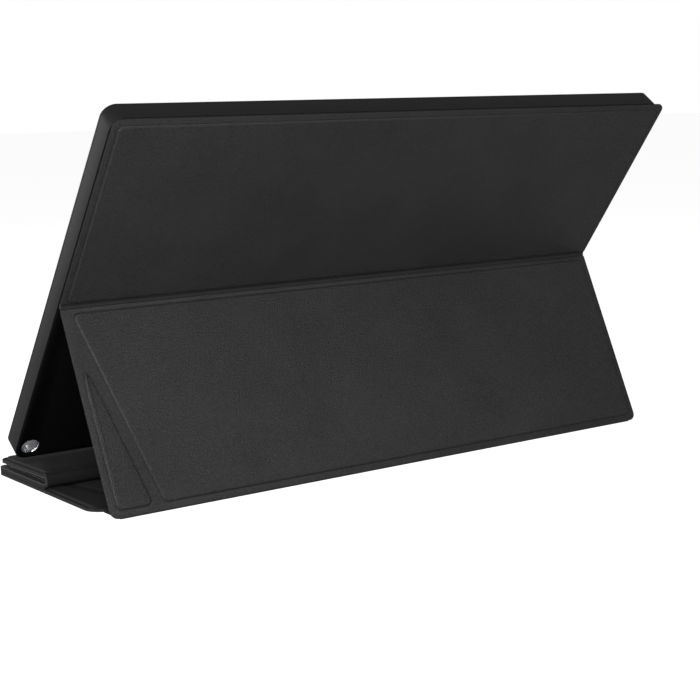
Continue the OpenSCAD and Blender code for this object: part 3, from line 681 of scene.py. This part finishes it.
grey_board = pressed_board("grey_board")
for panel in ("upper", "leg", "leg_corner", "base", "base_corner", "spine", "flap", "lip"):
    finish(panel + "_board", grey_board)
finish("bond_pads", moulded_plastic(
    "bonding_adhesive", (0.3, 0.28, 0.24), 0.35, 1.2 * MM, 0.05 * MM, 0.2))


# The upper panel is bonded to the upper half of the monitor's back. Its field is one board.
upper_l = 114.3 * MM
upper_place = in_panel(back.y, back.z, 90 - lean)
upper_outline = box_outline(-cover_x, crease + 0.1 * MM, cover_x, upper_l)
upper_field = box_outline(
    -cover_x + rim_w - 0.3 * MM, crease + 0.6 * MM, cover_x - rim_w + 0.3 * MM, upper_l - rim_w)
upper_skin = cover_half(
    "upper_panel_skin", turned_over(upper_outline), [4.5 * MM, 4.5 * MM, 1 * MM, 1 * MM],
    [turned_over(upper_field)], rim_t / 2, board_t / 2 + skin_t, upper_place @ over,
    "monitor", "upper_skin")
dress(upper_skin, skin_leather)
upper_lining = cover_half(
    "upper_panel_lining", upper_outline, [1 * MM, 1 * MM, 4.5 * MM, 4.5 * MM],
    [upper_field], rim_t / 2, board_t / 2 + skin_t, upper_place, "monitor", "upper_lining")
dress(upper_lining, lining_leather)

# The leg props the monitor up. A diagonal crease parts a small triangular board from the main one,
# for standing the monitor upright, and it is flat here.
diagonal_far = 5.1 * MM
diagonal_near = 30 * MM
diagonal_band = 5.6 * MM
leg_l = (back - foot).length
leg_lean = math.degrees(math.atan2(foot.y - back.y, back.z - foot.z))
leg_place = in_panel(foot.y, foot.z, 90 + leg_lean)
leg_low = rim_w + 0.3 * MM
leg_high = leg_l - crease - 2.4 * MM
leg_outline = box_outline(-cover_x, 0.3 * MM, cover_x, leg_l - crease - 0.1 * MM)
leg_field = [
    (-cover_x + rim_w, leg_low), (cover_x - diagonal_near, leg_low),
    (cover_x - diagonal_far, leg_high), (-cover_x + rim_w, leg_high),
]
leg_run = (diagonal_near - diagonal_far) / (leg_high - leg_low)
leg_apex = leg_low + (diagonal_near - diagonal_band - rim_w + 0.7 * MM) / leg_run
leg_corner = [
    (cover_x - diagonal_near + diagonal_band, leg_low), (cover_x - rim_w - 0.4 * MM, leg_low),
    (cover_x - rim_w + 0.7 * MM, leg_apex),
]
leg_skin = cover_half(
    "leg_panel_skin", turned_over(leg_outline), [1 * MM, 1 * MM, 4.5 * MM, 4.5 * MM],
    [turned_over(leg_field), turned_over(leg_corner)], rim_t / 2, board_t / 2 + skin_t,
    leg_place @ over, "leg", "leg_skin")
dress(leg_skin, skin_leather)
leg_lining = cover_half(
    "leg_panel_lining", leg_outline, [4.5 * MM, 4.5 * MM, 1 * MM, 1 * MM],
    [leg_field, leg_corner], rim_t / 2, board_t / 2 + skin_t, leg_place, "leg", "leg_lining")
dress(leg_lining, lining_leather)

# The base panel and the narrower spine behind it lie flat on the table. Their rims rest on it, and
# only the lining's side is pressed up over the boards.
edge_w = 1.9 * MM
tuck = 0.15 * MM
base_rim = 0.5 * MM
base_z = board_t / 2 + skin_t
base_drop = base_z - rim_t / 2
base_d = 115 * MM
spine_d = foot.y - front.y - base_d
spine_x = cover_x - 5.5 * MM
base_r = 10 * MM
base_place = in_panel(front.y, base_z, 0)
base_low = crease + 2.4 * MM
base_high = base_d - edge_w
spine_end = base_d + spine_d - crease - 0.1 * MM
base_outline = box_outline(-cover_x, 0.1 * MM, cover_x, base_d)
base_radii = [3 * MM, 3 * MM, base_r, base_r]
spine_outline = box_outline(-spine_x, base_d, spine_x, spine_end)
base_field = [
    (-cover_x + edge_w, base_low), (cover_x - diagonal_far, base_low),
    (cover_x - diagonal_near, base_high), (-cover_x + edge_w, base_high),
]
base_run = (diagonal_near - diagonal_far) / (base_high - base_low)
base_apex = base_high - (diagonal_near - diagonal_band - edge_w) / base_run
base_corner = [
    (cover_x - edge_w, base_apex), (cover_x - edge_w, base_high),
    (cover_x - diagonal_near + diagonal_band, base_high),
]
spine_field = box_outline(
    -spine_x + rim_w, base_d + 2 * MM, spine_x - rim_w, base_d + spine_d - crease - 2 * MM)
base_lining = cover_half(
    "base_panel_lining", base_outline, base_radii, [base_field, base_corner],
    base_rim, base_z, base_place, "base", "base_lining", turned=base_rim + base_z - 0.3 * MM)
dress(base_lining, lining_leather)
spine_lining = cover_half(
    "spine_lining", spine_outline, [0.3 * MM] * 4, [spine_field],
    rim_t / 2 - base_drop, base_z, base_place, "base", "base_lining")
dress(spine_lining, lining_leather)
base_under = box_outline(-cover_x + tuck, 0.1 * MM + tuck, cover_x - tuck, base_d - tuck)
base_skin = cover_half(
    "base_panel_skin", turned_over(base_under), list(reversed(base_radii)), [],
    base_z, base_z, base_place @ over, "base", "base_skin")
dress(base_skin, skin_leather)
spine_skin = cover_half(
    "spine_skin", turned_over(spine_outline), [0.3 * MM] * 4, [],
    base_z, base_z, base_place @ over, "base", "base_skin")
dress(spine_skin, skin_leather)

# The flap is folded back over the base, so its skin looks up, and the lip is folded forward again
# on top of it with its lining up. The lip's board is thicker, because it holds the magnets.
flap_d = loop.y - front.y
lip_d = 56 * MM
lip_slope = 0.8
lip_board_t = 2.2 * MM
lip_top = lip_board_t / 2 + skin_t
lip_drop = lip_top - rim_t / 2
flap_z = 2 * base_z + 0.2 * MM + base_z
flap_place = in_panel(loop.y, flap_z, 180)
flap_outline = box_outline(-cover_x, 0.1 * MM, cover_x, flap_d - 0.1 * MM)
flap_field = box_outline(-cover_x + rim_w, 4 * MM, cover_x - rim_w, flap_d - 4 * MM)
flap_radii = [1 * MM, 1 * MM, 3 * MM, 3 * MM]
flap_rim = 2.1 * MM
flap_under = box_outline(-cover_x + tuck, 0.1 * MM, cover_x - tuck, flap_d - 0.1 * MM - tuck)
flap_skin = cover_half(
    "flap_panel_skin", turned_over(flap_under), list(reversed(flap_radii)),
    [turned_over(flap_field)], rim_t / 2, base_z, flap_place @ over, "flap", "flap_skin")
dress(flap_skin, skin_leather)
flap_lining = cover_half(
    "flap_panel_lining", flap_outline, flap_radii, [flap_field],
    flap_rim, base_z, flap_place, "flap", "flap_lining", turned=flap_rim + rim_t / 2 - 0.25 * MM)
dress(flap_lining, lining_leather)

lip_turn = math.radians(lip_slope)
lip_up = Vector((0, -math.sin(lip_turn), math.cos(lip_turn)))
lip_along = Vector((0, math.cos(lip_turn), math.sin(lip_turn)))
loop_r = loop.z - flap_z
lip_tip = loop + (loop_r + lip_drop) * lip_up - lip_d * lip_along
lip_place = in_panel(lip_tip.y, lip_tip.z, lip_slope)
lip_outline = box_outline(-cover_x, 0, cover_x, lip_d - 0.1 * MM)
lip_field = box_outline(-cover_x + edge_w, edge_w, cover_x - edge_w, lip_d - 1 * MM)
lip_rim = 0.4 * MM
lip_lining = cover_half(
    "lip_panel_lining", lip_outline, [4.5 * MM, 4.5 * MM, 1 * MM, 1 * MM], [lip_field],
    lip_rim, lip_top, lip_place, "lip", "lip_lining", turned=lip_rim + lip_top - 0.3 * MM)
dress(lip_lining, lining_leather)
lip_under = box_outline(-cover_x + tuck, tuck, cover_x - tuck, lip_d - 0.1 * MM)
lip_skin = cover_half(
    "lip_panel_skin", turned_over(lip_under), [1 * MM, 1 * MM, 4.5 * MM, 4.5 * MM], [],
    lip_top, lip_top, lip_place @ over, "lip", "lip_skin")
dress(lip_skin, skin_leather)


# Where two panels meet, the skin and the lining run on without a board between them, and this
# soft strip is the hinge. Heat and pressure weld the two sheets together along it.
crease_leather = grained_leather(
    "crease_leather", (0.011, 0.011, 0.0115), (0.018, 0.018, 0.0185), 0.6 * MM, 0.15 * MM, 0.6, 0.02)
crease_x = cover_x - 0.3 * MM


def crease_strip(name, rows, half_length, node):
    """A strip across the cover, from its section: rows of inner, cut and outer points in Y and Z."""
    bpy.ops.object.select_all(action="DESELECT")
    bpy.ops.mesh.primitive_grid_add(x_subdivisions=2, y_subdivisions=len(rows) - 1, size=2)
    strip = bpy.context.object
    points = [point for row in rows for point in row]
    for vertex, (y, z) in zip(strip.data.vertices, points):
        vertex.co = (-half_length, y, z)
    bpy.ops.object.mode_set(mode="EDIT")
    bpy.ops.mesh.select_all(action="SELECT")
    bpy.ops.mesh.extrude_region_move(TRANSFORM_OT_translate={"value": (2 * half_length, 0, 0)})
    bpy.ops.mesh.select_all(action="SELECT")
    bpy.ops.mesh.normals_make_consistent(inside=False)
    bpy.ops.object.mode_set(mode="OBJECT")
    bpy.ops.object.shade_smooth_by_angle(angle=math.radians(40))
    strip.name = name
    strip.data.materials.append(crease_leather)
    strip.data.materials.append(cut_edge)
    inner = [(Vector(row[0]) + Vector(row[1])) / 2 for row in rows]
    outer = [(Vector(row[1]) + Vector(row[2])) / 2 for row in rows]
    for face in strip.data.polygons:
        spot = face.center.yz
        near_inner = min((spot - p).length for p in inner) < min((spot - p).length for p in outer)
        face.material_index = int(abs(face.normal.x) > 0.9 and near_inner)
    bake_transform(strip)
    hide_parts(node)


def aim(angle):
    """The direction at this angle, in Y and Z."""
    return Vector((math.cos(math.radians(angle)), math.sin(math.radians(angle))))


def bend_rows(corner, angle_in, angle_out, radius, arm, thick, steps=8):
    """Section of a bend between two straight arms, inner side towards the arc's middle."""
    turn = angle_out - angle_in
    side = 1 if turn > 0 else -1
    tangent = radius * math.tan(math.radians(abs(turn) / 2))
    middle = corner - tangent * aim(angle_in) + side * radius * aim(angle_in + 90)
    spots = []
    for i in range(steps + 1):
        angle = angle_in + turn * i / steps
        outward = -side * aim(angle + 90)
        spots.append((middle + radius * outward, outward))
    spots.insert(0, (spots[0][0] - (arm - tangent) * aim(angle_in), spots[0][1]))
    spots.append((spots[-1][0] + (arm - tangent) * aim(angle_out), spots[-1][1]))
    layers = (-thick / 2, -thick / 4, thick / 2)
    return [[spot + k * outward for k in layers] for spot, outward in spots]


def around(middle, angle_in, angle_out, radii, steps=16):
    """Section that goes round an arc, with its inner, cut and outer radius at each angle."""
    rows = []
    for i in range(steps + 1):
        angle = angle_in + (angle_out - angle_in) * i / steps
        rows.append([middle + radius * aim(angle) for radius in radii(angle)])
    return rows


back_spot = Vector((back.y, back.z))
foot_spot = Vector((foot.y, foot.z))
leg_angle = 90 + leg_lean
upper_angle = 90 - lean
crease_strip(
    "back_crease", bend_rows(back_spot, leg_angle, upper_angle, 1 * MM, crease, rim_t), crease_x,
    "back_fold")
crease_strip(
    "foot_crease", bend_rows(foot_spot, 0, leg_angle, 0.7 * MM, crease, 0.8 * MM),
    spine_x - 0.3 * MM,
    "foot_fold")

# The front fold lies pressed flat and shut, and the fold between the flap and the lip stays open as
# a loop round a narrow slot, with the leather bulging out behind it.
front_spot = Vector((front.y, front.z))
front_r = front.z


def front_radii(angle):
    """The roll is pressed flatter in front than it is tall."""
    toward = aim(angle)
    swell = (abs(toward.x / (1.5 * MM)) ** 2.4 + abs(toward.y / front_r) ** 2.4) ** (-1 / 2.4)
    return 0.2 * MM, 0.4 * MM, swell


crease_strip(
    "front_crease", around(front_spot, 270, 90, front_radii), crease_x - 2 * MM,
    "front_fold")
loop_spot = Vector((loop.y, loop.z))
slot_r = loop_r - rim_t / 2


def loop_radii(angle):
    """The slot's radius, its cut edge, and the bulging outside, taller above than below."""
    toward = aim(angle)
    high = 4.5 * MM if toward.y > 0 else loop_r + rim_t / 2
    swell = (abs(toward.x / (4.4 * MM)) ** 2.8 + abs(toward.y / high) ** 2.8) ** (-1 / 2.8)
    return slot_r, slot_r + 0.4 * MM, swell


crease_strip(
    "loop_crease", around(loop_spot, -90, 90 + lip_slope, loop_radii, 24), crease_x,
    "lip_fold")
